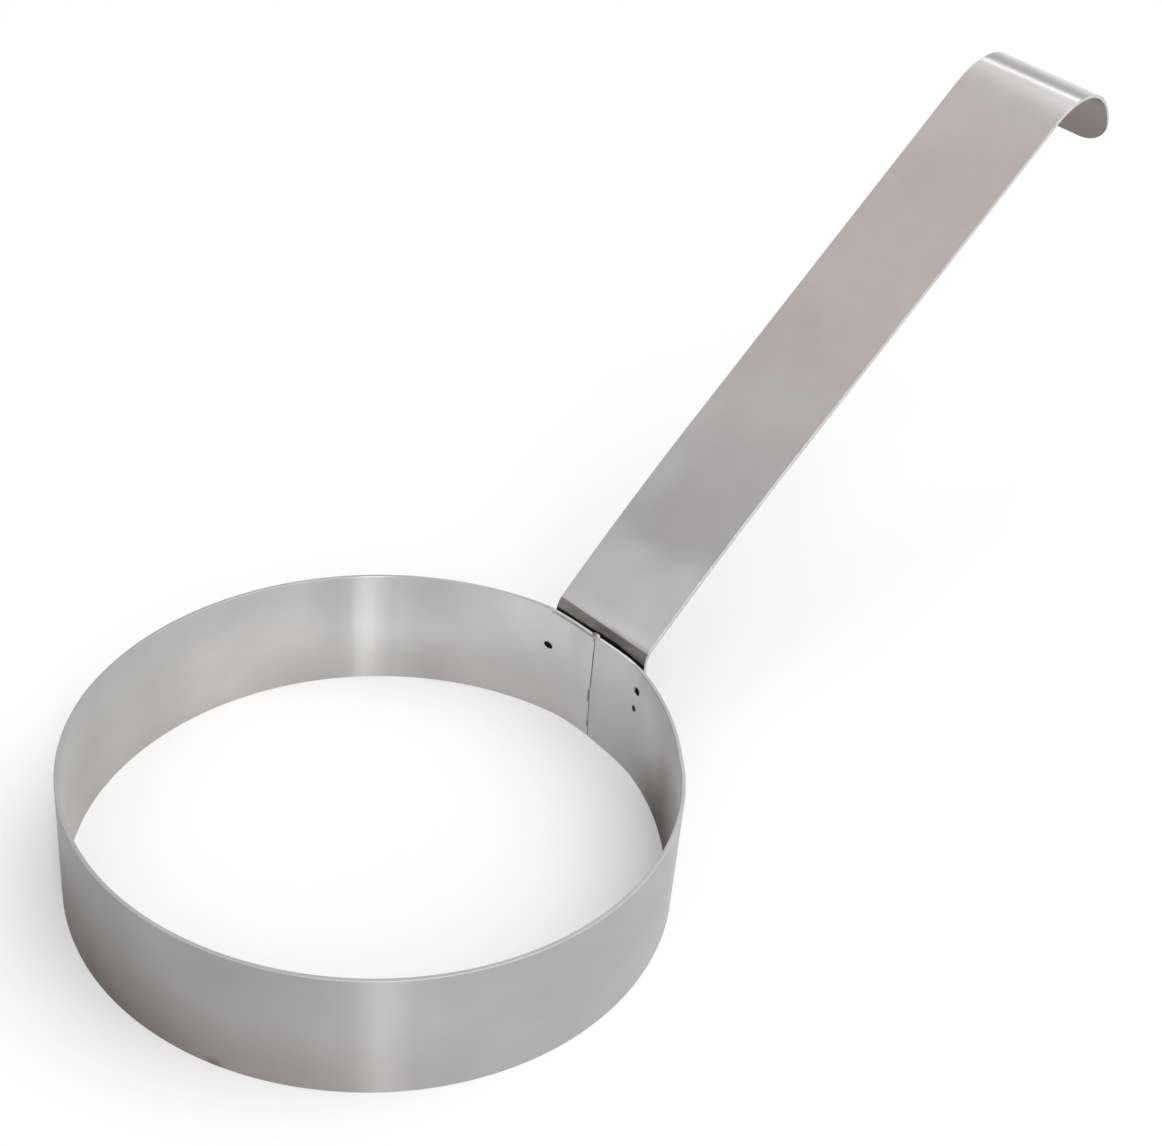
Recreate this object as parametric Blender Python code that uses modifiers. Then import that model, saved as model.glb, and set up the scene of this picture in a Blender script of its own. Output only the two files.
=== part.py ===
"""Egg ring: a rolled steel band with a bent strip handle spot-welded across its seam.

Units are metres. The ring stands on the XY plane, the handle climbs towards +X,
and the origin is the middle of the whole object's footprint box, on the ground.
Local coordinates of every piece are taken from the ring's own axis at ground level,
and left means +Y, the side on the left of someone who looks out along the handle.
"""

import math

import bmesh
import bpy
from mathutils import Matrix, Vector

# The band, rolled from strip stock with its two ends butted under the handle
RING_DIAMETER = 0.1125
BAND_HEIGHT = 0.0254
BAND_SHEET = 0.0008
SEAM_GAP = 0.0003
ROUND_STEPS = 220
# Rolling leaves the wall a little swollen towards the seam, further on the left than on
# the right. Welding on the handle presses a soft flat into the swell, which springs back
# and turns further to the right below the handle's tab, down to a short upright edge
SEAM_SWELL = 0.0038
LEFT_EASE = math.radians(115.0)
RIGHT_EASE = math.radians(41.0)
RIGHT_FALL = 1.3
FLAT_CUT = 0.0017
FLAT_TURN = math.radians(-2.5)
FLAT_BLEND = 0.0014
FOOT_CUT = 0.0012
FOOT_TURN = math.radians(-6.3)
SPRING_CURVE = 1.5
SPRING_ROWS = 4
UPRIGHT_EDGE = 0.0010

# The handle, one strip: tab, rim bend, run that starts with a slight sag, hanging hook
HANDLE_WIDTH = 0.0245
HANDLE_SHEET = 0.0008
FOOT_CORNER = 0.0010
TIP_CORNER = 0.0060
TAB_DEPTH = 0.0127
BEND_RADIUS = 0.0042
BEND_BELOW_RIM = 0.0010
RUN_CLIMB = math.radians(35.8)
SAG_TURN = math.radians(4.6)
SAG_LENGTH = 0.0470
STRAIGHT_LENGTH = 0.0932
RUN_TWIST = math.radians(7.8)
HOOK_RADIUS = 0.0200
HOOK_TURN = math.radians(109.0)
HOOK_TAIL = 0.0020

# Rows of points along each stretch of the handle, and columns across it
TAB_ROWS = 5
BEND_ROWS = 10
RUN_ROWS = 10
HOOK_ROWS = 26
CORNER_ROWS = 5
COLUMNS = 6
ROW_SPACE = 0.0004

# Oval welds that burn through the wall at the tab's two edges: side of the seam, distance
# out past that edge of the handle, depth under the rim, length, width, and how far the
# long side tips down towards the right
LEFT = 1
RIGHT = -1
LEFT_WELD = (LEFT, 0.0, 0.0088, 0.0024, 0.0013, math.radians(12.0))
RIGHT_UPPER_WELD = (RIGHT, 0.0013, 0.0050, 0.0018, 0.0012, math.radians(55.0))
RIGHT_LOWER_WELD = (RIGHT, 0.0008, 0.0095, 0.0015, 0.0011, math.radians(60.0))
WELD_DISH = 0.00012
WELD_LIP = 0.0002
WELD_SIDES = 20

# Tack weld that closes the top of the seam
TACK_LENGTH = 0.0022
TACK_HEIGHT = 0.0014
TACK_PROUD = 0.00015
TACK_SEGMENTS = 16
TACK_RINGS = 10

# Shared fits and finish
CLEARANCE = 0.0003
EDGE_ROUNDING = 0.00012
EDGE_ANGLE = math.radians(60.0)
CREASE_ANGLE = math.radians(35.0)

# Steps of the sums that find the wall behind the tab
WALL_TRIES = 8
WALL_STEPS = 24
SLOPE_STEP = 0.0002

RADIUS = RING_DIAMETER / 2
TAB_FOOT = BAND_HEIGHT - TAB_DEPTH
RIM_TURN = math.pi / 2 - RUN_CLIMB - SAG_TURN


def new_collection(name, parent):
    collection = bpy.data.collections.new(name)
    parent.children.link(collection)
    return collection


def clear_scene():
    for obj in list(bpy.data.objects):
        bpy.data.objects.remove(obj, do_unlink=True)


def steel(name, colour, roughness):
    material = bpy.data.materials.new(name)
    material.use_nodes = True
    shader = material.node_tree.nodes["Principled BSDF"]
    shader.inputs["Base Color"].default_value = (*colour, 1.0)
    shader.inputs["Metallic"].default_value = 1.0
    shader.inputs["Roughness"].default_value = roughness
    return material


def object_from(bm, name, collection, axis, material=None):
    """Turns a bmesh into an object that hangs on the ring's axis empty."""
    mesh = bpy.data.meshes.new(name)
    bm.to_mesh(mesh)
    bm.free()
    obj = bpy.data.objects.new(name, mesh)
    collection.objects.link(obj)
    obj.parent = axis
    if material:
        mesh.materials.append(material)
    return obj


def add_solidify(obj, thickness, offset):
    shell = obj.modifiers.new("sheet", "SOLIDIFY")
    shell.thickness = thickness
    shell.offset = offset
    shell.use_even_offset = True


def add_edge_rounding(obj):
    bevel = obj.modifiers.new("deburred edges", "BEVEL")
    bevel.width = EDGE_ROUNDING
    bevel.segments = 1
    bevel.limit_method = "ANGLE"
    bevel.angle_limit = EDGE_ANGLE
    bevel.use_clamp_overlap = False


def add_cut(obj, cutter):
    cut = obj.modifiers.new("cut " + cutter.name, "BOOLEAN")
    cut.operation = "DIFFERENCE"
    cut.solver = "EXACT"
    cut.object = cutter


def hide_cutter(obj):
    obj.hide_render = True
    obj.display_type = "WIRE"


def seam_angle(angle):
    """The same angle counted from the seam, between minus and plus half a turn."""
    return (angle + math.pi) % (2 * math.pi) - math.pi


def plan_radius(angle, height):
    """Outer radius of the band at an angle from the seam, left of it being plus."""
    turn = abs(angle)
    if angle > 0:
        u = min(turn / LEFT_EASE, 1.0)
        swollen = RADIUS + SEAM_SWELL * (2 * u**3 - 3 * u**2 + 1)
    else:
        swollen = RADIUS + SEAM_SWELL * max(1 - turn / RIGHT_EASE, 0.0) ** RIGHT_FALL
    if turn > RIGHT_EASE:
        return swollen
    below_tab = (TAB_FOOT - height) / (TAB_FOOT - UPRIGHT_EDGE)
    spring = min(max(below_tab, 0.0), 1.0) ** SPRING_CURVE
    cut = FLAT_CUT + (FOOT_CUT - FLAT_CUT) * spring
    lean = FLAT_TURN + (FOOT_TURN - FLAT_TURN) * spring
    flat = (RADIUS + SEAM_SWELL - cut) / math.cos(angle - lean)
    share = min(max((1 + (flat - swollen) / FLAT_BLEND) / 2, 0.0), 1.0)
    return flat + (swollen - flat) * share - FLAT_BLEND * share * (1 - share)


def band_plan(height):
    """Points of the band's outer face, from one end of the seam round to the other."""
    seam = math.atan2(SEAM_GAP / 2, RADIUS)
    span = 2 * math.pi - 2 * seam
    angles = [seam + span * i / ROUND_STEPS for i in range(ROUND_STEPS + 1)]
    radii = [plan_radius(seam_angle(angle), height) for angle in angles]
    return [Vector((r * math.cos(a), r * math.sin(a), height)) for r, a in zip(radii, angles)]


def wall_distance(sideways):
    """How far out the pressed wall's outer face stands, this far to the left of the seam."""
    angle = math.atan2(sideways, RADIUS)
    for _ in range(WALL_TRIES):
        angle = math.asin(sideways / plan_radius(angle, BAND_HEIGHT))
    return plan_radius(angle, BAND_HEIGHT) * math.cos(angle)


def wall_slope(sideways):
    """How fast that distance grows towards the left."""
    return (wall_distance(sideways + SLOPE_STEP) - wall_distance(sideways)) / SLOPE_STEP


def tab_face():
    """Where the tab's inner face stands, clear of the wall's furthest place behind it."""
    steps = range(-WALL_STEPS, WALL_STEPS + 1)
    return max(wall_distance(HANDLE_WIDTH / 2 * i / WALL_STEPS) for i in steps) + CLEARANCE


def sheet_surface(rows):
    """An open surface lofted through rows of points, its normals facing row x column."""
    bm = bmesh.new()
    grid = [[bm.verts.new(point) for point in row] for row in rows]
    for near, far in zip(grid, grid[1:]):
        for a, b, c, d in zip(near, far, far[1:], near[1:]):
            bm.faces.new((a, b, c, d))
    return bm


def make_ring_band(collection, axis, material, cutters):
    rise = (TAB_FOOT - UPRIGHT_EDGE) / SPRING_ROWS
    sprung = [UPRIGHT_EDGE + rise * i for i in range(SPRING_ROWS + 1)]
    rows = list(zip(*(band_plan(height) for height in (0.0, *sprung, BAND_HEIGHT))))
    obj = object_from(sheet_surface(rows), "ring_band", collection, axis, material)
    add_solidify(obj, BAND_SHEET, -1)
    add_edge_rounding(obj)
    for cutter in cutters:
        add_cut(obj, cutter)
    return obj


def strip_sections():
    """Length, turn, twist and rows of each stretch of the handle, foot to tip."""
    run = SAG_LENGTH + STRAIGHT_LENGTH
    return (
        (TAB_DEPTH - BEND_BELOW_RIM, 0.0, 0.0, TAB_ROWS),
        (BEND_RADIUS * RIM_TURN, RIM_TURN, 0.0, BEND_ROWS),
        (SAG_LENGTH, SAG_TURN, RUN_TWIST * SAG_LENGTH / run, RUN_ROWS),
        (STRAIGHT_LENGTH, 0.0, RUN_TWIST * STRAIGHT_LENGTH / run, RUN_ROWS),
        (HOOK_RADIUS * HOOK_TURN, HOOK_TURN, 0.0, HOOK_ROWS),
        (HOOK_TAIL, 0.0, 0.0, 1),
    )


def strip_length():
    return sum(length for length, _, _, _ in strip_sections())


def strip_places():
    """Distances along the strip where a row of points goes, denser at the corners."""
    total = strip_length()
    places = []
    start = 0.0
    for length, _, _, steps in strip_sections():
        places += [start + length * i / steps for i in range(steps)]
        start += length
    quarter = [1 - math.cos(math.pi / 2 * i / CORNER_ROWS) for i in range(CORNER_ROWS + 1)]
    foot = [FOOT_CORNER * share for share in quarter]
    tip = [total - TIP_CORNER * share for share in reversed(quarter)]
    inner = [place for place in places if foot[-1] + ROW_SPACE < place < tip[0] - ROW_SPACE]
    return foot + inner + tip


def bend_so_far(place):
    """Turn and twist built up between the foot and this place."""
    turn = twist = start = 0.0
    for length, section_turn, section_twist, _ in strip_sections():
        share = min(max((place - start) / length, 0.0), 1.0)
        turn += section_turn * share
        twist += section_twist * share
        start += length
    return turn, twist


def half_width(place):
    """Half the strip's width, drawn in round the corners at either end."""
    left = strip_length() - place
    corner, from_end = (FOOT_CORNER, place) if place < left else (TIP_CORNER, left)
    rest = max(corner - from_end, 0.0)
    return HANDLE_WIDTH / 2 - corner + math.sqrt(corner**2 - rest**2)


def strip_rows():
    """Middle point and sideways direction of the strip's middle surface at each row."""
    point = Vector((tab_face() + HANDLE_SHEET / 2, 0, TAB_FOOT))
    ahead = Vector((0, 0, 1))
    side = Vector((0, 1, 0))
    rows = []
    last_place = last_turn = last_twist = 0.0
    for place in strip_places():
        turn, twist = bend_so_far(place)
        half_turn = (turn - last_turn) / 2
        ahead = Matrix.Rotation(half_turn, 3, side) @ ahead
        chord = (place - last_place) * (math.sin(half_turn) / half_turn if half_turn else 1.0)
        point = point + ahead * chord
        ahead = (Matrix.Rotation(half_turn, 3, side) @ ahead).normalized()
        side = (Matrix.Rotation(twist - last_twist, 3, ahead) @ side).normalized()
        rows.append((place, point.copy(), side.copy()))
        last_place, last_turn, last_twist = place, turn, twist
    return rows


def make_handle_strip(collection, axis, material):
    shares = [2 * i / COLUMNS - 1 for i in range(COLUMNS + 1)]
    rows = []
    for place, point, side in strip_rows():
        reach = half_width(place)
        rows.append([point + side * (reach * share) for share in shares])
    obj = object_from(sheet_surface(rows), "handle_strip", collection, axis, material)
    add_solidify(obj, HANDLE_SHEET, 0)
    add_edge_rounding(obj)
    return obj


def weld_slug(name, weld, grow, collection, axis, material=None):
    """An oval slug through the wall, up to the handle's tab; grown, it is its own pocket."""
    side, outset, depth, length, width, tip = weld
    sideways = side * (HANDLE_WIDTH / 2 + outset)
    inner = wall_distance(sideways) - BAND_SHEET - grow
    outer = tab_face() - CLEARANCE + grow
    bm = bmesh.new()
    bmesh.ops.create_cone(bm, cap_ends=True, segments=WELD_SIDES, radius1=0.5, radius2=0.5, depth=1)
    lie = Matrix.Rotation(math.pi / 2, 4, "Y")
    size = Matrix.Diagonal((outer - inner, length + 2 * grow, width + 2 * grow, 1))
    bmesh.ops.transform(bm, matrix=Matrix.Rotation(tip, 4, "X") @ size @ lie, verts=bm.verts)
    if not grow:
        cap = min(bm.faces, key=lambda face: face.calc_center_median().x)
        bmesh.ops.inset_region(bm, faces=[cap], thickness=WELD_LIP, depth=-WELD_DISH)
    for vert in bm.verts:
        if vert.co.x < 0:
            vert.co.x += wall_slope(sideways) * vert.co.y
    obj = object_from(bm, name, collection, axis, material)
    obj.location = ((inner + outer) / 2, sideways, BAND_HEIGHT - depth)
    return obj


def make_spot_weld(name, weld, collection, cutter_collection, axis, material):
    """The slug of a spot weld and the pocket that it fills in the band."""
    slug = weld_slug(name, weld, 0.0, collection, axis, material)
    pocket = weld_slug(name + "_pocket", weld, CLEARANCE, cutter_collection, axis)
    hide_cutter(pocket)
    return slug, pocket


def bead(name, collection, axis, reach, centre, material=None):
    bm = bmesh.new()
    bmesh.ops.create_uvsphere(bm, u_segments=TACK_SEGMENTS, v_segments=TACK_RINGS, radius=1)
    bmesh.ops.scale(bm, vec=reach, verts=bm.verts)
    obj = object_from(bm, name, collection, axis, material)
    obj.location = centre
    return obj


def make_seam_tack(collection, cutter_collection, axis, material):
    """The bead at the top of the seam and the notch that it sits in."""
    reach = Vector((BAND_SHEET / 2 + TACK_PROUD, TACK_LENGTH / 2, TACK_HEIGHT / 2))
    centre = (wall_distance(0.0) - BAND_SHEET / 2, 0, BAND_HEIGHT)
    tack = bead("seam_tack", collection, axis, reach, centre, material)
    notch_reach = reach + Vector((CLEARANCE, CLEARANCE, CLEARANCE))
    notch = bead("seam_tack_notch", cutter_collection, axis, notch_reach, centre)
    hide_cutter(notch)
    return tack, notch


def shade(obj):
    obj.data.shade_smooth()
    obj.data.set_sharp_from_angle(angle=CREASE_ANGLE)


def main():
    clear_scene()
    root = bpy.context.scene.collection
    parts = new_collection("egg_ring", root)
    cutters = new_collection("egg_ring_cutters", root)
    cutters.hide_render = True

    reach = max(point.x + abs(side.x) * HANDLE_WIDTH / 2 for _, point, side in strip_rows())
    plan = band_plan(BAND_HEIGHT)
    across = min(point.y for point in plan) + max(point.y for point in plan)
    back = min(point.x for point in plan)
    axis = bpy.data.objects.new("ring_axis", None)
    axis.location = (-(back + reach + HANDLE_SHEET / 2) / 2, -across / 2, 0)
    parts.objects.link(axis)

    band_steel = steel("band steel", (0.60, 0.60, 0.60), 0.30)
    handle_steel = steel("handle steel", (0.62, 0.61, 0.61), 0.32)
    weld_steel = steel("weld scale", (0.10, 0.09, 0.09), 0.55)
    tack_steel = steel("tack bead", (0.55, 0.54, 0.52), 0.35)

    welds = [
        make_spot_weld("spot_weld_left", LEFT_WELD, parts, cutters, axis, weld_steel),
        make_spot_weld("spot_weld_right_upper", RIGHT_UPPER_WELD, parts, cutters, axis, weld_steel),
        make_spot_weld("spot_weld_right_lower", RIGHT_LOWER_WELD, parts, cutters, axis, weld_steel),
    ]
    pockets = [pocket for _, pocket in welds]
    tack, notch = make_seam_tack(parts, cutters, axis, tack_steel)
    band = make_ring_band(parts, axis, band_steel, [*pockets, notch])
    handle = make_handle_strip(parts, axis, handle_steel)
    for obj in (band, handle, tack):
        shade(obj)


main()
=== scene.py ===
"""Looks of the egg ring: satin steel, worn edges, welds, and a plain pale studio.

Units are metres, in the frame of the CAD model. Left means +Y.
"""

import math

import bmesh
import bpy
from mathutils import Matrix, Vector, noise

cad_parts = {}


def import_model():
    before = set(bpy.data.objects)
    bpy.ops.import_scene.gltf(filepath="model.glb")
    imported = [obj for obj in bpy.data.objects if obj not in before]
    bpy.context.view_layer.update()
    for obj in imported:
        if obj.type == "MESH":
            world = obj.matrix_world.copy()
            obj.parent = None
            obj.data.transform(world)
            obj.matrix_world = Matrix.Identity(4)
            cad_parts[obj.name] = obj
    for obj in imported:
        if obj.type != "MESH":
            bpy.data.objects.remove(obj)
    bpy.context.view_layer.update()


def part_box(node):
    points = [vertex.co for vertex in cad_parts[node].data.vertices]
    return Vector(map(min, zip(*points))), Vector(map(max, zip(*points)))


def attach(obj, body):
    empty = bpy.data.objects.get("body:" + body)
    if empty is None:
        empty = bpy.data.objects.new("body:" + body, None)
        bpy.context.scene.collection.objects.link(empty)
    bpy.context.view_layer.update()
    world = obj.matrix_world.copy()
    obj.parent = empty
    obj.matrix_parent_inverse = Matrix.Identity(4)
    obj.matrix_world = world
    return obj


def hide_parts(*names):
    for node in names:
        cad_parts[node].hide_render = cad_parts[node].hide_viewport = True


# Sizes of the real pieces, the same as in the CAD model
RADIUS = 0.05625
BAND_HEIGHT = 0.0254
SHEET = 0.0008
SEAM_SWELL = 0.0038
LEFT_EASE = math.radians(115.0)
RIGHT_EASE = math.radians(41.0)
RIGHT_FALL = 1.3
FLAT_CUT = 0.0017
FLAT_TURN = math.radians(-2.5)
FLAT_BLEND = 0.0014
FOOT_CUT = 0.0012
FOOT_TURN = math.radians(-6.3)
SPRING_CURVE = 1.5
UPRIGHT_EDGE = 0.0010
HANDLE_WIDTH = 0.0245
FOOT_CORNER = 0.0010
TIP_CORNER = 0.0060
TAB_DEPTH = 0.0127
BEND_RADIUS = 0.0042
BEND_BELOW_RIM = 0.0010
RUN_CLIMB = math.radians(35.8)
SAG_TURN = math.radians(4.6)
SAG_LENGTH = 0.0470
STRAIGHT_LENGTH = 0.0932
RUN_TWIST = math.radians(7.8)
HOOK_RADIUS = 0.0200
HOOK_TURN = math.radians(109.0)
HOOK_TAIL = 0.0020
CLEARANCE = 0.0003
TAB_FOOT = BAND_HEIGHT - TAB_DEPTH

# Welds: side, distance past the handle's edge, depth under the rim, length, width, tip
LEFT_WELD = (1, 0.0, 0.0088, 0.0024, 0.0013, math.radians(12.0))
RIGHT_UPPER_WELD = (-1, 0.0013, 0.0050, 0.0018, 0.0012, math.radians(55.0))
RIGHT_LOWER_WELD = (-1, 0.0008, 0.0095, 0.0015, 0.0011, math.radians(60.0))

# The burnt mark inside the band is a little shorter than the weld, and stands proud of the wall
MARK_SHARE = 0.88
MARK_PROUD = 0.00005
MARK_ROUGHNESS = 0.00003
MARK_BUMPS = 2600
BUMPS_APART = 900

# The mark swells into a low ring: share of its half length, and the extra height there
MARK_SWELL = ((0.35, 0.00002), (0.62, 0.00010), (0.80, 0.00016), (0.92, 0.00010), (1.0, 0.0))

# The lump of metal behind the wall bulges at its shoulder and narrows at the tab
LUMP_SHOULDER = 0.3
LUMP_BULGE = 1.05
LUMP_END = 0.80

# The tack bead: how far it stands proud of the sheet, half its width and half its height
TACK_PROUD = 0.00015
TACK_HALF_WIDTH = 0.0011
TACK_HALF_HEIGHT = 0.0007
TACK_LUMPS = 0.10
TACK_LUMP_SCALE = 1.9

# Wear and unevenness of the sheets
EDGE_ROUNDING = 0.00016
SHARP_EDGE = math.radians(60.0)
SEAM_HALF_GAP = 0.00011
SEAM_DRIFT = 0.00006
SEAM_DRIFT_SCALE = 260
WALL_WAVE = 0.00003
WAVES_ROUND = 2.1
WAVES_UP = 18

# How finely the surfaces are drawn and the wall is measured
BAND_STEPS = 720
BAND_ROWS = 20
STRIP_HALF_COLUMNS = 8
CORNER_STEPS = 12
CORNER_ROOM = 0.0003
WELD_SIDES = 32
WALL_ROUNDS = 8
WALL_PROBES = 24
SLOPE_STEP = 0.0002
ON_WALL = 0.00001

# The name of the map that gives lengths along and across a sheet
SHEET_MAP = "length_and_width"

# Noise in the materials lies mostly between these
NOISE_LOW = 0.3
NOISE_HIGH = 0.7

# The steel's grain runs along the sheet: how fine it is each way, its height and its change in gloss
GRAIN_STRETCH = (60.0, 9000.0, 1.0)
GRAIN_HEIGHT = 0.00002
GRAIN_GLOSS = 0.05

# A quarter turn makes reflections stretch across the grain
ACROSS_GRAIN = 0.25

# Soft clouds of wear: how many to a metre, and how dark and light they are
CLOUD_SCALE = 45.0
CLOUD_DARK = 0.93
CLOUD_LIGHT = 1.05

# The brown band on the handle, partly oxidised by heat and partly painted shade, ends here, a little
# farther up on the left
OXIDE_AND_SHADE_END = 0.0144
OXIDE_AND_SHADE_SLANT = -0.033
OXIDE_AND_SHADE_FADE = 0.0002
OXIDE_AND_SHADE_DARK = (0.13, 0.118, 0.112)
OXIDE_AND_SHADE_LIGHT = (0.23, 0.213, 0.205)
OXIDE_AND_SHADE_METAL = 0.1

# Just past the brown band the handle is duller: where that starts and ends, and how rough it is
DULL_START = OXIDE_AND_SHADE_END + 0.0004
DULL_END = OXIDE_AND_SHADE_END + 0.0050
DULL_ROUGHNESS = 0.42

# Burnt scale on the weld marks is matt and hardly shines
SCALE_SMOOTH = 0.60
SCALE_ROUGH = 0.90
SCALE_SHINE = 0.06

# Painted shade in the crevice, black: its top, which sinks towards the handle's right edge
CREVICE_TOP = BAND_HEIGHT + 0.0001
CREVICE_FADE = 0.0003
CREVICE_BREAKS = 0.0001
CREVICE_SINK = 0.0012
CREVICE_SINK_START = -0.0045
CREVICE_BLACK = (0.008, 0.007, 0.007)

# The edges of patches wander with a slow noise: how many to a metre, and where it mostly lies
PATCH_DRIFT_SCALE = 70.0
PATCH_DRIFT_RANGE = (0.25, 0.75)

# Ends of patches that run past an edge, the seam or the tip
EDGE_TO_EDGE = (-0.04, -0.03, 0.03, 0.04)
FROM_FOOT = (-0.02, -0.01)
TO_RIM = (0.03, 0.04)
FROM_SEAM = (-0.02, -0.01)
TO_SEAM = (0.370, 0.380)
TO_TIP = (0.300, 0.400)

# Dark spots along the seam: from one height to another
SEAM_SPOTS = ((0.0020, 0.0048), (0.0085, 0.0125), (0.0236, 0.0254))
SPOT_FADE = 0.001
SPOT_TINT = (0.30, 0.28, 0.27)

# Brightness of the studio at four heights, every 45 degrees of azimuth from -180
SKY = (
    (1.5, (1.0, 1.0, 1.0, 1.0, 1.0, 1.0, 1.0, 1.0)),
    (5.0, (0.12, 1.50, 0.90, 2.10, 1.80, 0.12, 0.12, 0.12)),
    (28.0, (0.12, 1.40, 0.50, 0.30, 0.20, 0.70, 0.12, 0.55)),
    (55.0, (1.60, 0.20, 2.00, 2.10, 1.45, 0.75, 0.70, 0.60)),
)

# The floor: half its side, its grey, and the light that lifts it to white where it is seen
FLOOR_REACH = 60.0
FLOOR_GREY = 0.86
FLOOR_LIFT = 0.15

# The camera of the photograph
IMAGE_WIDTH = 1162
FOCAL_PIXELS = 1975.6
SENSOR = 36.0
CAMERA_PLACE = Vector((-0.262882, -0.207223, 0.251682))
CAMERA_AIM = Vector((0.011656, 0.030139, 0.0127))
CAMERA_ROLL = math.radians(5.67)
CAMERA_NEAR = 0.01
CAMERA_FAR = 20.0


def seam_angle(angle):
    return (angle + math.pi) % (2 * math.pi) - math.pi


def plan_radius(angle, height):
    """Outer radius of the band at an angle from the seam, left of it being plus."""
    turn = abs(angle)
    if angle > 0:
        u = min(turn / LEFT_EASE, 1.0)
        swollen = RADIUS + SEAM_SWELL * (2 * u**3 - 3 * u**2 + 1)
    else:
        swollen = RADIUS + SEAM_SWELL * max(1 - turn / RIGHT_EASE, 0.0) ** RIGHT_FALL
    if turn > RIGHT_EASE:
        return swollen
    below_tab = (TAB_FOOT - height) / (TAB_FOOT - UPRIGHT_EDGE)
    spring = min(max(below_tab, 0.0), 1.0) ** SPRING_CURVE
    cut = FLAT_CUT + (FOOT_CUT - FLAT_CUT) * spring
    lean = FLAT_TURN + (FOOT_TURN - FLAT_TURN) * spring
    flat = (RADIUS + SEAM_SWELL - cut) / math.cos(angle - lean)
    share = min(max((1 + (flat - swollen) / FLAT_BLEND) / 2, 0.0), 1.0)
    return flat + (swollen - flat) * share - FLAT_BLEND * share * (1 - share)


def wall_distance(sideways):
    """How far out the pressed wall's outer face stands, this far to the left of the seam."""
    angle = math.atan2(sideways, RADIUS)
    for _ in range(WALL_ROUNDS):
        angle = math.asin(sideways / plan_radius(angle, BAND_HEIGHT))
    return plan_radius(angle, BAND_HEIGHT) * math.cos(angle)


def tab_face():
    """How far out the tab's inner face stands, clear of the wall all along its width."""
    probes = range(-WALL_PROBES, WALL_PROBES + 1)
    return max(wall_distance(HANDLE_WIDTH / 2 * i / WALL_PROBES) for i in probes) + CLEARANCE


def link(obj):
    bpy.context.scene.collection.objects.link(obj)
    return obj


def object_from(bm, name, material, centre):
    """Makes a smooth object from a bmesh drawn about the ring's axis."""
    mesh = bpy.data.meshes.new(name)
    bm.to_mesh(mesh)
    bm.free()
    mesh.transform(Matrix.Translation(centre))
    mesh.shade_smooth()
    mesh.materials.append(material)
    return link(bpy.data.objects.new(name, mesh))


def sheet_surface(rows, lengths, widths):
    """A surface lofted through rows of points, with real lengths as its map."""
    bm = bmesh.new()
    uv = bm.loops.layers.uv.new(SHEET_MAP)
    grid = [[bm.verts.new(point) for point in row] for row in rows]
    for i in range(len(grid) - 1):
        for j in range(len(widths) - 1):
            corners = ((i, j), (i + 1, j), (i + 1, j + 1), (i, j + 1))
            face = bm.faces.new([grid[a][b] for a, b in corners])
            for loop, (a, b) in zip(face.loops, corners):
                loop[uv].uv = (lengths[a], widths[b])
    return bm


def add_sheet(obj, offset, back_and_edge):
    """Gives a surface its sheet thickness, worn edges, and steels for its back and its edge."""
    for material in back_and_edge:
        obj.data.materials.append(material)
    shell = obj.modifiers.new("sheet", "SOLIDIFY")
    shell.material_offset = 1
    shell.material_offset_rim = 2
    shell.thickness = SHEET
    shell.offset = offset
    shell.use_even_offset = True
    bevel = obj.modifiers.new("worn edges", "BEVEL")
    bevel.width = EDGE_ROUNDING
    bevel.segments = 3
    bevel.limit_method = "ANGLE"
    bevel.angle_limit = SHARP_EDGE
    bevel.use_clamp_overlap = False
    bevel.harden_normals = True


def make_band(materials, centre):
    """The rolled band, its wall a little uneven and its seam not quite even."""
    rise = BAND_HEIGHT - UPRIGHT_EDGE
    heights = [0.0] + [UPRIGHT_EDGE + rise * j / BAND_ROWS for j in range(BAND_ROWS + 1)]
    rows = []
    lengths = [0.0]
    for i in range(BAND_STEPS + 1):
        turn = 2 * math.pi * i / BAND_STEPS
        across = math.cos(turn) * WAVES_ROUND
        along = math.sin(turn) * WAVES_ROUND
        row = []
        for height in heights:
            angle = turn
            if i in (0, BAND_STEPS):
                drift = noise.noise(Vector((i, height * SEAM_DRIFT_SCALE, 0)))
                gap = SEAM_HALF_GAP + SEAM_DRIFT * drift
                angle = (gap if i == 0 else -gap) / RADIUS
            wave = noise.noise(Vector((across, along, height * WAVES_UP)))
            radius = plan_radius(seam_angle(angle), height) + WALL_WAVE * wave
            row.append(Vector((radius * math.cos(angle), radius * math.sin(angle), height)))
        if rows:
            lengths.append(lengths[-1] + (row[0] - rows[-1][0]).length)
        rows.append(row)
    band = object_from(sheet_surface(rows, lengths, heights), "band_sheet", materials[0], centre)
    add_sheet(band, -1, materials[1:])
    return band


def strip_sections():
    """Length, turn, twist and number of steps of each stretch of the handle, foot to tip."""
    run = SAG_LENGTH + STRAIGHT_LENGTH
    rim_turn = math.pi / 2 - RUN_CLIMB - SAG_TURN
    return (
        (TAB_DEPTH - BEND_BELOW_RIM, 0.0, 0.0, 8),
        (BEND_RADIUS * rim_turn, rim_turn, 0.0, 24),
        (SAG_LENGTH, SAG_TURN, RUN_TWIST * SAG_LENGTH / run, 30),
        (STRAIGHT_LENGTH, 0.0, RUN_TWIST * STRAIGHT_LENGTH / run, 40),
        (HOOK_RADIUS * HOOK_TURN, HOOK_TURN, 0.0, 70),
        (HOOK_TAIL, 0.0, 0.0, 1),
    )


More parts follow.
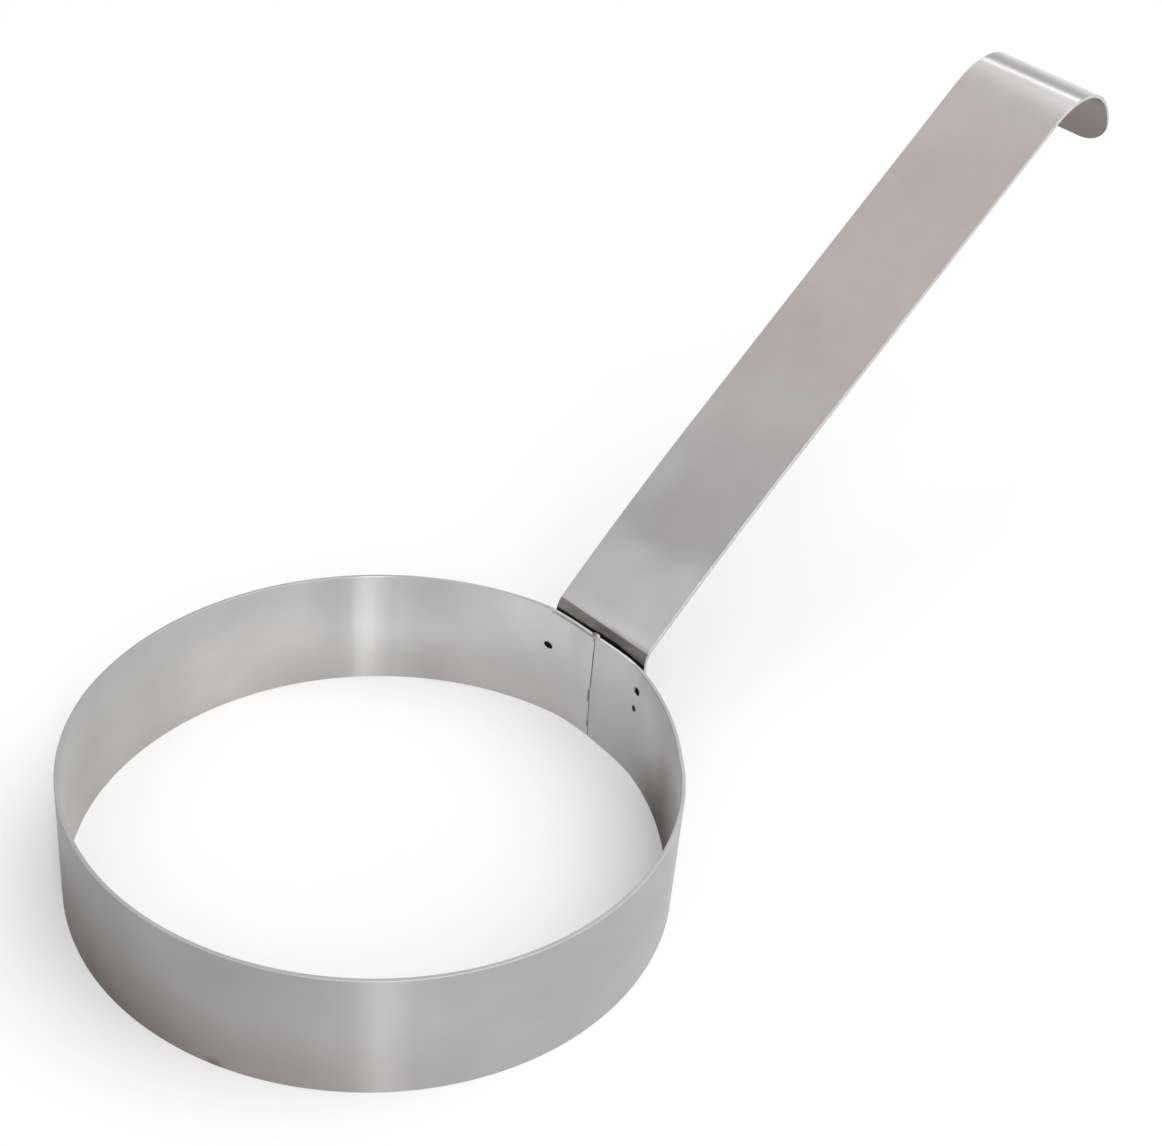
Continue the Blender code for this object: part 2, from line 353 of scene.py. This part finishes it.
def strip_places():
    """Distances along the strip where a row of points goes, denser at the corners."""
    total = sum(section[0] for section in strip_sections())
    places = []
    start = 0.0
    for length, _, _, steps in strip_sections():
        places += [start + length * i / steps for i in range(steps)]
        start += length
    quarter = [1 - math.cos(math.pi / 2 * i / CORNER_STEPS) for i in range(CORNER_STEPS + 1)]
    foot = [FOOT_CORNER * share for share in quarter]
    tip = [total - TIP_CORNER * share for share in reversed(quarter)]
    first = foot[-1] + CORNER_ROOM
    last = tip[0] - CORNER_ROOM
    return foot + [place for place in places if first < place < last] + tip


def bend_so_far(place):
    """How far the strip has turned and twisted by a distance from its foot."""
    turn = twist = start = 0.0
    for length, section_turn, section_twist, _ in strip_sections():
        share = min(max((place - start) / length, 0.0), 1.0)
        turn += section_turn * share
        twist += section_twist * share
        start += length
    return turn, twist


def half_width(place, total):
    """Half the strip's width at a distance from its foot, less at the rounded corners."""
    corner, from_end = (FOOT_CORNER, place) if place < total / 2 else (TIP_CORNER, total - place)
    rest = max(corner - from_end, 0.0)
    return HANDLE_WIDTH / 2 - corner + math.sqrt(corner**2 - rest**2)


def make_strip(materials, centre):
    """The bent handle, its underside rougher than its top and darker as painted shade."""
    point = Vector((tab_face() + SHEET / 2, 0, TAB_FOOT))
    ahead = Vector((0, 0, 1))
    side = Vector((0, 1, 0))
    places = strip_places()
    shares = [i / STRIP_HALF_COLUMNS - 1 for i in range(2 * STRIP_HALF_COLUMNS + 1)]
    rows = []
    last_place = last_turn = last_twist = 0.0
    for place in places:
        turn, twist = bend_so_far(place)
        half_turn = (turn - last_turn) / 2
        ahead = Matrix.Rotation(half_turn, 3, side) @ ahead
        chord = (place - last_place) * (math.sin(half_turn) / half_turn if half_turn else 1.0)
        point = point + ahead * chord
        ahead = (Matrix.Rotation(half_turn, 3, side) @ ahead).normalized()
        side = (Matrix.Rotation(twist - last_twist, 3, ahead) @ side).normalized()
        reach = half_width(place, places[-1])
        rows.append([point + side * (reach * share) for share in shares])
        last_place, last_turn, last_twist = place, turn, twist
    widths = [HANDLE_WIDTH / 2 * share for share in shares]
    strip = object_from(sheet_surface(rows, places, widths), "handle_sheet", materials[0], centre)
    add_sheet(strip, 0, materials[1:])
    return strip


def weld_mark(bm, inner, sideways, length, width):
    """Rings of points over the burnt mark on the wall's inner face, from its middle to its rim."""
    loops = []
    for share, height in MARK_SWELL:
        loop = []
        for i in range(WELD_SIDES):
            angle = 2 * math.pi * i / WELD_SIDES
            y = math.cos(angle) * length * MARK_SHARE / 2 * share
            z = math.sin(angle) * width / 2 * share
            bumps = noise.noise(Vector((y * MARK_BUMPS, z * MARK_BUMPS, sideways * BUMPS_APART)))
            rough = MARK_ROUGHNESS * bumps if share < 1 else 0.0
            loop.append(bm.verts.new((inner - MARK_PROUD - height + rough, y, z)))
        loops.append(loop)
    return loops


def make_weld(name, weld, scale, metal, centre):
    """A nugget that shows a burnt mark inside the band and a lump of metal outside it."""
    side, outset, depth, length, width, tip = weld
    sideways = side * (HANDLE_WIDTH / 2 + outset)
    wall = wall_distance(sideways)
    slope = (wall_distance(sideways + SLOPE_STEP) - wall_distance(sideways)) / SLOPE_STEP
    outer = tab_face() - CLEARANCE
    shoulder = outer - LUMP_SHOULDER * (outer - wall)
    bm = bmesh.new()
    loops = weld_mark(bm, wall - SHEET, sideways, length, width)
    rim = loops[-1]
    for x, girth in ((wall, 1.0), (shoulder, LUMP_BULGE), (outer, LUMP_END)):
        loops.append([bm.verts.new((x, v.co.y * girth, v.co.z * girth)) for v in rim])
    for step, (near, far) in enumerate(zip(loops, loops[1:])):
        for i in range(WELD_SIDES):
            j = (i + 1) % WELD_SIDES
            face = bm.faces.new((near[i], near[j], far[j], far[i]))
            face.material_index = 1 if step >= len(MARK_SWELL) else 0
    bm.faces.new(list(reversed(loops[0])))
    bm.faces.new(loops[-1]).material_index = 1
    bmesh.ops.recalc_face_normals(bm, faces=bm.faces)
    bmesh.ops.transform(bm, matrix=Matrix.Rotation(tip, 4, "X"), verts=bm.verts)
    for vert in bm.verts:
        if vert.co.x < wall + ON_WALL:
            vert.co.x += slope * vert.co.y
    place = Matrix.Translation((0, sideways, BAND_HEIGHT - depth))
    bmesh.ops.transform(bm, matrix=place, verts=bm.verts)
    nugget = object_from(bm, name, scale, centre)
    nugget.data.materials.append(metal)
    return nugget


def make_tack(material, centre):
    """The lumpy bead that closes the top of the seam."""
    bm = bmesh.new()
    bmesh.ops.create_icosphere(bm, subdivisions=4, radius=1.0)
    reach = Vector((SHEET / 2 + TACK_PROUD, TACK_HALF_WIDTH, TACK_HALF_HEIGHT))
    for vert in bm.verts:
        lump = 1 + TACK_LUMPS * noise.noise(vert.co * TACK_LUMP_SCALE)
        vert.co = Vector((vert.co.x * reach.x, vert.co.y * reach.y, vert.co.z * reach.z)) * lump
    bmesh.ops.translate(bm, vec=(wall_distance(0.0) - SHEET / 2, 0, BAND_HEIGHT), verts=bm.verts)
    return object_from(bm, "tack_bead", material, centre)


def new_material(name):
    material = bpy.data.materials.new(name)
    material.use_nodes = True
    tree = material.node_tree
    return material, tree, tree.nodes["Principled BSDF"]


def add_node(tree, kind, **settings):
    node = tree.nodes.new(kind)
    for key, value in settings.items():
        setattr(node, key, value)
    return node


def feed(tree, source, socket):
    """Gives a socket a plain value, a colour or the output of another node."""
    if isinstance(source, tuple):
        socket.default_value = (*source, 1.0)
    elif isinstance(source, (int, float)):
        socket.default_value = source
    else:
        tree.links.new(source, socket)


def math_of(tree, operation, *terms):
    node = add_node(tree, "ShaderNodeMath", operation=operation)
    for term, socket in zip(terms, node.inputs):
        feed(tree, term, socket)
    return node.outputs["Value"]


def mix_of(tree, share, first, second, kind="RGBA", blend="MIX"):
    """Goes from the first colour or number to the second as the share goes from 0 to 1."""
    sockets = {"FLOAT": (2, 3, 0), "RGBA": (6, 7, 2)}[kind]
    mix = add_node(tree, "ShaderNodeMix", data_type=kind, blend_type=blend)
    feed(tree, share, mix.inputs["Factor"])
    feed(tree, first, mix.inputs[sockets[0]])
    feed(tree, second, mix.inputs[sockets[1]])
    return mix.outputs[sockets[2]]


def object_place(tree):
    return add_node(tree, "ShaderNodeTexCoord").outputs["Object"]


def sheet_place(tree):
    return add_node(tree, "ShaderNodeUVMap", uv_map=SHEET_MAP).outputs["UV"]


def split(tree, source):
    parts = add_node(tree, "ShaderNodeSeparateXYZ")
    tree.links.new(source, parts.inputs["Vector"])
    return parts.outputs


def noise_of(tree, source, scale, detail, stretch=(1.0, 1.0, 1.0)):
    """Noise read at a source position, finer with scale, squeezed each way by stretch."""
    mapping = add_node(tree, "ShaderNodeMapping")
    mapping.inputs["Scale"].default_value = stretch
    tree.links.new(source, mapping.inputs["Vector"])
    grain = add_node(tree, "ShaderNodeTexNoise")
    grain.inputs["Scale"].default_value = scale
    grain.inputs["Detail"].default_value = detail
    tree.links.new(mapping.outputs["Vector"], grain.inputs["Vector"])
    return grain.outputs["Fac"]


def ramp_of(tree, source, stops):
    ramp = add_node(tree, "ShaderNodeValToRGB")
    for _ in stops[2:]:
        ramp.color_ramp.elements.new(0.5)
    for element, (place, colour) in zip(ramp.color_ramp.elements, stops):
        element.position = place
        element.color = (*colour, 1.0)
    tree.links.new(source, ramp.inputs["Fac"])
    return ramp.outputs["Color"]


def range_of(tree, source, low, high, to_low, to_high, blend="LINEAR"):
    scale = add_node(tree, "ShaderNodeMapRange", interpolation_type=blend)
    for key, value in zip(("From Min", "From Max", "To Min", "To Max"), (low, high, to_low, to_high)):
        scale.inputs[key].default_value = value
    tree.links.new(source, scale.inputs["Value"])
    return scale.outputs["Result"]


def spread_noise(tree, source, low, high):
    """Spreads a noise from one number to another."""
    return range_of(tree, source, NOISE_LOW, NOISE_HIGH, low, high)


def satin_steel(name, colour, roughness, anisotropy, grain_depth):
    """Satin steel: fine grain along the sheet and soft clouds of wear."""
    material, tree, shader = new_material(name)
    grain = noise_of(tree, sheet_place(tree), scale=1.0, detail=4.0, stretch=GRAIN_STRETCH)
    clouds = noise_of(tree, object_place(tree), scale=CLOUD_SCALE, detail=4.0)
    dark = tuple(c * CLOUD_DARK for c in colour)
    light = tuple(min(c * CLOUD_LIGHT, 1.0) for c in colour)
    tint = ramp_of(tree, clouds, ((0.30, dark), (0.70, light)))
    tree.links.new(tint, shader.inputs["Base Color"])
    rough = spread_noise(tree, grain, roughness - GRAIN_GLOSS, roughness + GRAIN_GLOSS)
    tree.links.new(rough, shader.inputs["Roughness"])
    bump = add_node(tree, "ShaderNodeBump")
    bump.inputs["Strength"].default_value = grain_depth
    bump.inputs["Distance"].default_value = GRAIN_HEIGHT
    tree.links.new(grain, bump.inputs["Height"])
    tree.links.new(bump.outputs["Normal"], shader.inputs["Normal"])
    tangent = add_node(tree, "ShaderNodeTangent", direction_type="UV_MAP", uv_map=SHEET_MAP)
    tree.links.new(tangent.outputs["Tangent"], shader.inputs["Tangent"])
    shader.inputs["Metallic"].default_value = 1.0
    shader.inputs["Anisotropic"].default_value = anisotropy
    shader.inputs["Anisotropic Rotation"].default_value = ACROSS_GRAIN
    return material


def opened(material):
    """A material's nodes, its shader, and what feeds the shader's colour so far."""
    tree = material.node_tree
    shader = tree.nodes["Principled BSDF"]
    return tree, shader, shader.inputs["Base Color"].links[0].from_socket


def soft_patch(material, along, across, tint, wander=0.0015):
    """Tints a patch. Each way it fades in over two places and out over two, and its edges wander."""
    tree, shader, steel = opened(material)
    drift = noise_of(tree, object_place(tree), scale=PATCH_DRIFT_SCALE, detail=1.0)
    shift = range_of(tree, drift, *PATCH_DRIFT_RANGE, -wander, wander)
    parts = split(tree, sheet_place(tree))
    shares = []
    for output, (start, full, ebb, end) in (("X", along), ("Y", across)):
        moved = math_of(tree, "ADD", parts[output], shift)
        rise = range_of(tree, moved, start, full, 0.0, 1.0, "SMOOTHSTEP")
        fall = range_of(tree, moved, ebb, end, 1.0, 0.0, "SMOOTHSTEP")
        shares.append(math_of(tree, "MULTIPLY", rise, fall))
    share = math_of(tree, "MULTIPLY", *shares)
    tree.links.new(mix_of(tree, share, steel, tint, blend="MULTIPLY"), shader.inputs["Base Color"])


def brown_bend(material):
    """Brown on the tab and the start of the bend, partly oxidised by heat and partly painted shade, and
    a duller finish just past it.
    """
    tree, shader, steel = opened(material)
    grain = shader.inputs["Roughness"].links[0].from_socket
    parts = split(tree, sheet_place(tree))
    level = math_of(tree, "MULTIPLY_ADD", parts["Y"], OXIDE_AND_SHADE_SLANT, parts["X"])
    tone = noise_of(tree, object_place(tree), scale=160.0, detail=2.0)
    # Brown, partly oxidised by heat and partly painted shade, and hardly metallic
    oxide_and_shade = ramp_of(tree, tone, ((0.35, OXIDE_AND_SHADE_DARK), (0.65, OXIDE_AND_SHADE_LIGHT)))
    past = range_of(tree, level, OXIDE_AND_SHADE_END, OXIDE_AND_SHADE_END + OXIDE_AND_SHADE_FADE, 0.0, 1.0)
    tree.links.new(mix_of(tree, past, oxide_and_shade, steel), shader.inputs["Base Color"])
    metal = range_of(tree, level, OXIDE_AND_SHADE_END, OXIDE_AND_SHADE_END + OXIDE_AND_SHADE_FADE, OXIDE_AND_SHADE_METAL, 1.0)
    tree.links.new(metal, shader.inputs["Metallic"])
    clean = range_of(tree, level, DULL_START, DULL_END, 0.0, 1.0, "SMOOTHSTEP")
    rough = mix_of(tree, clean, DULL_ROUGHNESS, grain, kind="FLOAT")
    tree.links.new(rough, shader.inputs["Roughness"])


def darken_crevice(material):
    """Painted shade, black, below a level that sinks to the right, with a broken edge."""
    tree, shader, steel = opened(material)
    place = object_place(tree)
    parts = split(tree, place)
    ragged = noise_of(tree, place, scale=900.0, detail=3.0)
    shift = spread_noise(tree, ragged, -CREVICE_BREAKS, CREVICE_BREAKS)
    sink = range_of(tree, parts["Y"], -HANDLE_WIDTH / 2, CREVICE_SINK_START, CREVICE_SINK, 0.0)
    level = math_of(tree, "ADD", math_of(tree, "ADD", parts["Z"], shift), sink)
    clean = range_of(tree, level, CREVICE_TOP, CREVICE_TOP + CREVICE_FADE, 0.0, 1.0)
    tree.links.new(mix_of(tree, clean, CREVICE_BLACK, steel), shader.inputs["Base Color"])


def weld_scale(name, dark, light):
    """Burnt scale on a weld mark: speckled and matt."""
    material, tree, shader = new_material(name)
    specks = noise_of(tree, object_place(tree), scale=2600.0, detail=5.0)
    tint = ramp_of(tree, specks, ((0.35, dark), (0.80, light)))
    tree.links.new(tint, shader.inputs["Base Color"])
    tree.links.new(spread_noise(tree, specks, SCALE_SMOOTH, SCALE_ROUGH), shader.inputs["Roughness"])
    shader.inputs["Specular IOR Level"].default_value = SCALE_SHINE
    return material


def cast_steel(name, dark, light, smooth, rough):
    """Weld metal that has run and set: mottled, with patches of different gloss."""
    material, tree, shader = new_material(name)
    specks = noise_of(tree, object_place(tree), scale=1500.0, detail=4.0)
    tint = ramp_of(tree, specks, ((0.35, dark), (0.70, light)))
    tree.links.new(tint, shader.inputs["Base Color"])
    tree.links.new(spread_noise(tree, specks, smooth, rough), shader.inputs["Roughness"])
    shader.inputs["Metallic"].default_value = 1.0
    return material


def outer_band_steel():
    """The band's outside. Lengths run to the left from the seam, heights up from the foot."""
    # Darker than the inside's grey of the same steel: painted shade
    grey = (0.475, 0.475, 0.475)
    steel = satin_steel("band outer steel", grey, roughness=0.37, anisotropy=1.0, grain_depth=0.04)
    # Painted shade, brown, low on the left
    soft_patch(steel, (0.110, 0.148, 0.168, 0.206), (*FROM_FOOT, 0.000, 0.026), (0.54, 0.50, 0.48))
    # Painted shade over the front, most of all on its left half
    soft_patch(steel, (0.100, 0.130, 0.213, 0.252), EDGE_TO_EDGE, (0.91, 0.90, 0.90))
    # Painted reflection, reddish, along the foot
    soft_patch(steel, (0.160, 0.185, 0.200, 0.245), (*FROM_FOOT, 0.003, 0.016), (0.90, 0.80, 0.79))
    # Small stain at the foot
    stain = (0.200, 0.2015, 0.2025, 0.204)
    soft_patch(steel, stain, (*FROM_FOOT, 0.001, 0.003), (0.66, 0.64, 0.63), 0.0008)
    # Shade where the wall turns away on the left
    soft_patch(steel, (0.110, 0.135, 0.170, 0.195), EDGE_TO_EDGE, (0.87, 0.87, 0.87))
    # Faint warmth on the right
    soft_patch(steel, (0.235, 0.250, 0.268, 0.290), EDGE_TO_EDGE, (1.0, 0.98, 0.985), 0.003)
    # Painted highlight on the left side of the bright streak, painted shade on its right side
    streak_left = (0.2250, 0.2270, 0.2290, 0.2302)
    streak_right = (0.2300, 0.2322, 0.2345, 0.2390)
    soft_patch(steel, streak_left, EDGE_TO_EDGE, (1.05, 1.05, 1.05), 0.0005)
    soft_patch(steel, streak_right, EDGE_TO_EDGE, (0.92, 0.92, 0.92), 0.0005)
    return steel


def inner_band_steel():
    """The band's inside. Lengths run to the left from the seam, heights up from the foot."""
    grey = (0.62, 0.62, 0.62)
    steel = satin_steel("band inner steel", grey, roughness=0.37, anisotropy=1.0, grain_depth=0.04)
    # Painted highlight in the middle of the bright streak, painted shade on its right and left
    streak_left = (0.0551, 0.0562, 0.0600, 0.0680)
    streak_middle = (0.0515, 0.0528, 0.0545, 0.0553)
    streak_right = (0.0445, 0.0475, 0.0498, 0.0516)
    soft_patch(steel, streak_middle, EDGE_TO_EDGE, (1.06, 1.06, 1.06), 0.0003)
    soft_patch(steel, streak_right, EDGE_TO_EDGE, (0.92, 0.92, 0.92), 0.0003)
    soft_patch(steel, streak_left, (0.006, 0.018, *TO_RIM), (0.92, 0.92, 0.92), 0.0003)
    # Painted light on the wall on both sides of the seam
    soft_patch(steel, (*FROM_SEAM, 0.012, 0.036), (0.004, 0.020, *TO_RIM), (1.20, 1.21, 1.22), 0.002)
    soft_patch(steel, (0.305, 0.325, *TO_SEAM), (0.004, 0.020, *TO_RIM), (1.13, 1.14, 1.15), 0.002)
    # Painted shade, deep brown, low on the right, and a lighter painted shade above it
    soft_patch(steel, (0.275, 0.312, 0.325, 0.352), (*FROM_FOOT, 0.000, 0.023), (0.27, 0.245, 0.235))
    soft_patch(steel, (0.290, 0.304, 0.322, 0.340), (*FROM_FOOT, 0.014, 0.030), (0.72, 0.68, 0.66))
    # Painted shade at the foot and rim on the left of the handle
    soft_patch(steel, (0.028, 0.040, 0.060, 0.085), (*FROM_FOOT, 0.003, 0.014), (0.84, 0.82, 0.81))
    soft_patch(steel, (0.028, 0.040, 0.053, 0.068), (0.012, 0.024, *TO_RIM), (0.87, 0.86, 0.86))
    # Painted light on the rim on the left of the seam
    soft_patch(steel, (0.003, 0.008, 0.016, 0.030), (0.012, 0.022, *TO_RIM), (1.18, 1.18, 1.18))
    # Dark halo of the upper right weld
    halo_along = (0.3434, 0.3441, 0.3451, 0.3458)
    soft_patch(steel, halo_along, (0.0193, 0.0199, 0.0207, 0.0213), SPOT_TINT, 0.0001)
    # Painted reflection, faintly warm, at the foot on the left of the seam; painted shade at the foot on
    # its right
    left_foot = (0.002, 0.008, 0.030, 0.045)
    soft_patch(steel, left_foot, (*FROM_FOOT, 0.006, 0.014), (0.98, 0.945, 0.945), 0.002)
    right_foot = (0.338, 0.348, *TO_SEAM)
    soft_patch(steel, right_foot, (*FROM_FOOT, 0.014, 0.022), (0.90, 0.90, 0.91), 0.002)
    # Painted reflection, warm, at the foot; painted shade at the far end and painted light in the middle
    # of the left wall
    soft_patch(steel, (0.055, 0.075, 0.130, 0.150), (*FROM_FOOT, 0.006, 0.020), (0.98, 0.95, 0.935))
    soft_patch(steel, (0.085, 0.105, 0.140, 0.160), EDGE_TO_EDGE, (0.93, 0.925, 0.92))
    middle = (-0.002, 0.007, 0.014, 0.0235)
    soft_patch(steel, (0.0550, 0.0640, 0.0860, 0.1020), middle, (1.11, 1.095, 1.09))
    # Dark spots along the seam
    for low, high in SEAM_SPOTS:
        spot = (low, low + SPOT_FADE, high - SPOT_FADE, high)
        soft_patch(steel, (*FROM_SEAM, 0.0001, 0.0004), spot, SPOT_TINT, 0.0001)
    # Dark line under the rim beside the joint
    line = (0.0247, 0.0249, *TO_RIM)
    soft_patch(steel, (*FROM_SEAM, 0.011, 0.013), line, (0.6, 0.58, 0.57), 0.0001)
    return steel


def handle_top_steel():
    """The handle's top and the tab's inner face. Lengths run up from the tab's foot."""
    grey = (0.68, 0.67, 0.67)
    steel = satin_steel("handle satin steel", grey, roughness=0.22, anisotropy=0.3, grain_depth=0.015)
    # Painted light on the foot of the run
    soft_patch(steel, (0.0137, 0.0142, 0.026, 0.036), EDGE_TO_EDGE, (1.15, 1.16, 1.17), 0.005)
    # Painted shade on the right of it
    dark_across = (-0.020, -0.010, 0.002, 0.014)
    soft_patch(steel, (0.026, 0.038, 0.052, 0.080), dark_across, (0.86, 0.85, 0.86), 0.004)
    # Warm tint along the run
    soft_patch(steel, (0.050, 0.085, 0.148, 0.168), EDGE_TO_EDGE, (1.03, 0.935, 0.915), 0.004)
    # Painted shade on the hook
    soft_patch(steel, (0.176, 0.182, *TO_TIP), EDGE_TO_EDGE, (0.80, 0.79, 0.785), 0.001)
    brown_bend(steel)
    # Painted shade, black, in the crevice behind the rim
    darken_crevice(steel)
    return steel


def underside_steel():
    """The handle's underside and the tab's outer face, darker than the top as painted shade, with
    painted shade in brown inside the hook.
    """
    grey = (0.50, 0.495, 0.49)
    steel = satin_steel("handle underside steel", grey, roughness=0.36, anisotropy=0.3, grain_depth=0.03)
    # Painted shade, brown, inside the hook
    soft_patch(steel, (0.142, 0.158, *TO_TIP), EDGE_TO_EDGE, (0.48, 0.418, 0.414), 0.002)
    return steel


def worn_edge_steel():
    """The cut edges of both sheets, with painted light on the rim on both sides of the seam."""
    grey = (0.60, 0.60, 0.60)
    steel = satin_steel("worn edge steel", grey, roughness=0.58, anisotropy=0.0, grain_depth=0.01)
    # Painted light on the rim on both sides of the seam
    rim = (0.02, 0.024, *TO_RIM)
    soft_patch(steel, (*FROM_SEAM, 0.011, 0.013), rim, (1.5, 1.5, 1.5), 0.0002)
    soft_patch(steel, (0.346, 0.348, *TO_SEAM), rim, (1.5, 1.5, 1.5), 0.0002)
    return steel


def floor_material():
    """A pale floor that reads white to the camera and in the steel, and keeps shadows."""
    material, tree, shader = new_material("pale floor")
    output = tree.nodes["Material Output"]
    tree.nodes.remove(shader)
    diffuse = add_node(tree, "ShaderNodeBsdfDiffuse")
    diffuse.inputs["Color"].default_value = (FLOOR_GREY, FLOOR_GREY, FLOOR_GREY, 1.0)
    path = add_node(tree, "ShaderNodeLightPath").outputs
    seen = math_of(tree, "MAXIMUM", path["Is Camera Ray"], path["Is Glossy Ray"])
    seen = math_of(tree, "MAXIMUM", seen, path["Is Transmission Ray"])
    glow = add_node(tree, "ShaderNodeEmission")
    tree.links.new(math_of(tree, "MULTIPLY", seen, FLOOR_LIFT), glow.inputs["Strength"])
    both = add_node(tree, "ShaderNodeAddShader")
    tree.links.new(diffuse.outputs["BSDF"], both.inputs[0])
    tree.links.new(glow.outputs["Emission"], both.inputs[1])
    tree.links.new(both.outputs["Shader"], output.inputs["Surface"])
    return material


def make_floor():
    bm = bmesh.new()
    bmesh.ops.create_grid(bm, x_segments=1, y_segments=1, size=FLOOR_REACH)
    floor = object_from(bm, "floor", floor_material(), Vector((0, 0, 0)))


def camera_axes():
    """The camera's right, up and backward directions."""
    ahead = (CAMERA_AIM - CAMERA_PLACE).normalized()
    right = ahead.cross(Vector((0, 0, 1))).normalized()
    up = right.cross(ahead)
    rolled_right = right * math.cos(CAMERA_ROLL) + up * math.sin(CAMERA_ROLL)
    rolled_up = up * math.cos(CAMERA_ROLL) - right * math.sin(CAMERA_ROLL)
    return rolled_right, rolled_up, -ahead


def make_camera():
    data = bpy.data.cameras.new("photo_camera")
    data.sensor_width = SENSOR
    data.lens = FOCAL_PIXELS * SENSOR / IMAGE_WIDTH
    data.clip_start = CAMERA_NEAR
    data.clip_end = CAMERA_FAR
    camera = link(bpy.data.objects.new("photo_camera", data))
    turn = Matrix(camera_axes()).transposed().to_4x4()
    camera.matrix_world = Matrix.Translation(CAMERA_PLACE) @ turn
    bpy.context.scene.camera = camera


def direction(azimuth, elevation):
    azimuth = math.radians(azimuth)
    elevation = math.radians(elevation)
    flat = math.cos(elevation)
    return Vector((flat * math.cos(azimuth), flat * math.sin(azimuth), math.sin(elevation)))


def make_softbox(name, azimuth, elevation, distance, size, brightness):
    """A rectangular lamp that faces the ring, of a given brightness to look at."""
    data = bpy.data.lights.new(name, "AREA")
    data.shape = "RECTANGLE"
    data.size = size[0]
    data.size_y = size[1]
    data.energy = brightness * math.pi * size[0] * size[1]
    lamp = link(bpy.data.objects.new(name, data))
    outward = direction(azimuth, elevation)
    lamp.location = outward * distance
    lamp.rotation_euler = outward.to_track_quat("Z", "Y").to_euler()


def make_world():
    """Soft light from all round, pale at the horizon, darkest behind the ring on the left."""
    world = bpy.data.worlds.new("studio")
    world.use_nodes = True
    bpy.context.scene.world = world
    tree = world.node_tree
    parts = split(tree, add_node(tree, "ShaderNodeTexCoord").outputs["Generated"])
    azimuth = math_of(tree, "ARCTAN2", parts["Y"], parts["X"])
    turn = range_of(tree, azimuth, -math.pi, math.pi, 0.0, 1.0)
    below = None
    for elevation, levels in SKY:
        stops = [(i / len(levels), (level,) * 3) for i, level in enumerate(levels + levels[:1])]
        ring = ramp_of(tree, turn, stops)
        height = math.sin(math.radians(elevation))
        if below:
            share = range_of(tree, parts["Z"], below[0], height, 0.0, 1.0)
            ring = mix_of(tree, share, below[1], ring)
        below = (height, ring)
    tree.links.new(ring, tree.nodes["Background"].inputs["Color"])


def make_studio():
    make_floor()
    make_world()
    make_softbox("window", azimuth=27.0, elevation=40.0, distance=1.2, size=(0.5, 0.07), brightness=1.9)
    make_softbox(
        "camera strip", azimuth=233.0, elevation=45.0, distance=1.2, size=(0.10, 1.2), brightness=7.6
    )


def make_pieces(centre):
    """Every piece, with the CAD node that it replaces and its material slot."""
    outer = outer_band_steel()
    inner = inner_band_steel()
    top = handle_top_steel()
    underside = underside_steel()
    edge = worn_edge_steel()
    scale = weld_scale("weld scale", (0.002, 0.002, 0.002), (0.012, 0.011, 0.010))
    thin_scale = weld_scale("thin weld scale", (0.03, 0.03, 0.03), (0.13, 0.125, 0.12))
    tack = cast_steel("tack steel", (0.36, 0.35, 0.34), (0.62, 0.61, 0.60), smooth=0.22, rough=0.42)
    nugget = cast_steel("nugget steel", (0.14, 0.12, 0.11), (0.36, 0.34, 0.33), smooth=0.35, rough=0.60)
    band = make_band((outer, inner, edge), centre)
    strip = make_strip((top, underside, edge), centre)
    left = make_weld("weld_left", LEFT_WELD, scale, nugget, centre)
    upper = make_weld("weld_right_upper", RIGHT_UPPER_WELD, scale, nugget, centre)
    lower = make_weld("weld_right_lower", RIGHT_LOWER_WELD, thin_scale, nugget, centre)
    bead = make_tack(tack, centre)
    return (
        (band, "ring_band", "band_steel"),
        (strip, "handle_strip", "handle_steel"),
        (left, "spot_weld_left", "weld_scale"),
        (upper, "spot_weld_right_upper", "weld_scale"),
        (lower, "spot_weld_right_lower", "weld_scale"),
        (bead, "seam_tack", "tack_bead"),
    )


def main():
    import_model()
    bpy.context.scene.view_settings.view_transform = "Standard"

    band_low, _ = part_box("ring_band")
    tack_low, tack_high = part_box("seam_tack")
    centre = Vector((band_low[0] + RADIUS, (tack_low[1] + tack_high[1]) / 2, 0))

    for piece, node, slot in make_pieces(centre):
        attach(piece, "root")
        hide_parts(node)

    make_studio()
    make_camera()


main()
